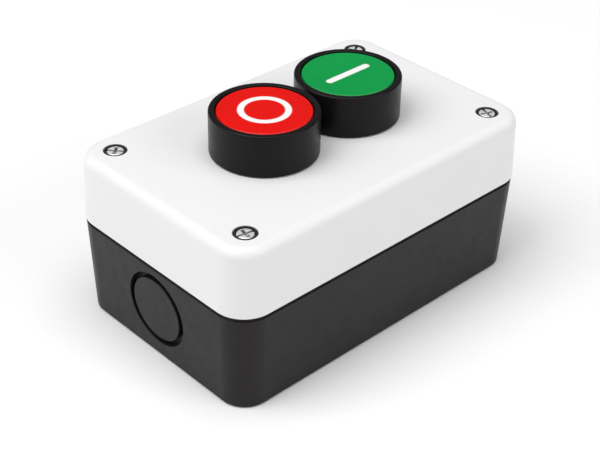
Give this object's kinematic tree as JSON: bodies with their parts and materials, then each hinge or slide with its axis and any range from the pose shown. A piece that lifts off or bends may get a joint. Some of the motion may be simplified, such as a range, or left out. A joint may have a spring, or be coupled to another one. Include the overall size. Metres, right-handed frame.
{
  "type": "push button control station",
  "caption": "Surface-mounted push-button control station: flush red stop and green start heads on a screwed lid, over contact blocks in a drafted base with cable knock-outs.",
  "frame": {"origin": "centre of the back mounting face, on the plane that rests on the wall", "axes": "+Z from the wall to the buttons; Y along the long side, with the start button at +Y and the stop button at -Y; X across the width"},
  "size_m": [0.068, 0.106, 0.0604],
  "materials": {
    "lid_plastic": "fine-grained moulded light grey, almost white",
    "base_plastic": "fine-grained moulded dark grey",
    "black_plastic": "satin moulded black",
    "red_plastic": "satin-gloss moulded red",
    "green_plastic": "satin-gloss moulded green",
    "mark_plastic": "white second-shot moulding",
    "stem_plastic": "natural acetal",
    "block_plastic": "glass-filled dark grey",
    "cover_plastic": "moulded mid grey",
    "red_plunger": "moulded red, for a contact that opens",
    "green_plunger": "moulded green, for a contact that closes",
    "seal_rubber": "soft black elastomer",
    "plated_steel": "zinc-plated, bright",
    "spring_steel": "drawn wire",
    "brass": "rolled strip with riveted pads"
  },
  "bodies": {
    "base": {"base_box": "base_plastic", "stop_contact_housing": "block_plastic", "stop_contact_cover": "cover_plastic", "stop_contact_spring": "spring_steel", "stop_fixed_contact_left": "brass", "stop_fixed_contact_right": "brass", "stop_terminal_clamp_left": "plated_steel", "stop_terminal_clamp_right": "plated_steel", "stop_terminal_screw_left": "plated_steel", "stop_terminal_screw_right": "plated_steel", "start_contact_housing": "block_plastic", "start_contact_cover": "cover_plastic", "start_contact_spring": "spring_steel", "start_fixed_contact_left": "brass", "start_fixed_contact_right": "brass", "start_terminal_clamp_left": "plated_steel", "start_terminal_clamp_right": "plated_steel", "start_terminal_screw_left": "plated_steel", "start_terminal_screw_right": "plated_steel"},
    "lid": {"lid": "lid_plastic", "lid_gasket": "seal_rubber", "lid_screw_1": "plated_steel", "lid_screw_2": "plated_steel", "lid_screw_3": "plated_steel", "lid_screw_4": "plated_steel", "lid_screw_washer_1": "seal_rubber", "lid_screw_washer_2": "seal_rubber", "lid_screw_washer_3": "seal_rubber", "lid_screw_washer_4": "seal_rubber", "stop_bezel": "black_plastic", "stop_panel_gasket": "seal_rubber", "stop_lip_seal": "seal_rubber", "stop_fixing_nut": "black_plastic", "stop_return_spring": "spring_steel", "start_bezel": "black_plastic", "start_panel_gasket": "seal_rubber", "start_lip_seal": "seal_rubber", "start_fixing_nut": "black_plastic", "start_return_spring": "spring_steel"},
    "stop_button": {"stop_cap": "red_plastic", "stop_mark": "mark_plastic", "stop_stem": "stem_plastic"},
    "stop_carrier": {"stop_contact_plunger": "red_plunger", "stop_contact_bridge": "brass"},
    "start_button": {"start_cap": "green_plastic", "start_mark": "mark_plastic", "start_stem": "stem_plastic"},
    "start_carrier": {"start_contact_plunger": "green_plunger", "start_contact_bridge": "brass"}
  },
  "joints": [
    {"name": "lid_lift", "type": "slide", "parent": "base", "child": "lid", "axis": [0, 0, 1], "range_m": [0, 0.05]},
    {"name": "stop_push", "type": "slide", "parent": "lid", "child": "stop_button", "axis": [0, 0, -1], "range_m": [0, 0.0043], "stiffness_N_per_m": 600, "springref_m": -0.004, "deforming": ["stop_return_spring"]},
    {"name": "start_push", "type": "slide", "parent": "lid", "child": "start_button", "axis": [0, 0, -1], "range_m": [0, 0.0043], "stiffness_N_per_m": 600, "springref_m": -0.004, "deforming": ["start_return_spring"]},
    {"name": "stop_contact_travel", "type": "slide", "parent": "base", "child": "stop_carrier", "axis": [0, 0, -1], "range_m": [0, 0.0043], "stiffness_N_per_m": 250, "springref_m": -0.003, "deforming": ["stop_contact_spring"]},
    {"name": "start_contact_travel", "type": "slide", "parent": "base", "child": "start_carrier", "axis": [0, 0, -1], "range_m": [0, 0.0043], "stiffness_N_per_m": 250, "springref_m": -0.003, "deforming": ["start_contact_spring"]}
  ],
  "couplings": [
    {"joint": "stop_contact_travel", "follows": "stop_push", "ratio": 1},
    {"joint": "start_contact_travel", "follows": "start_push", "ratio": 1}
  ]
}
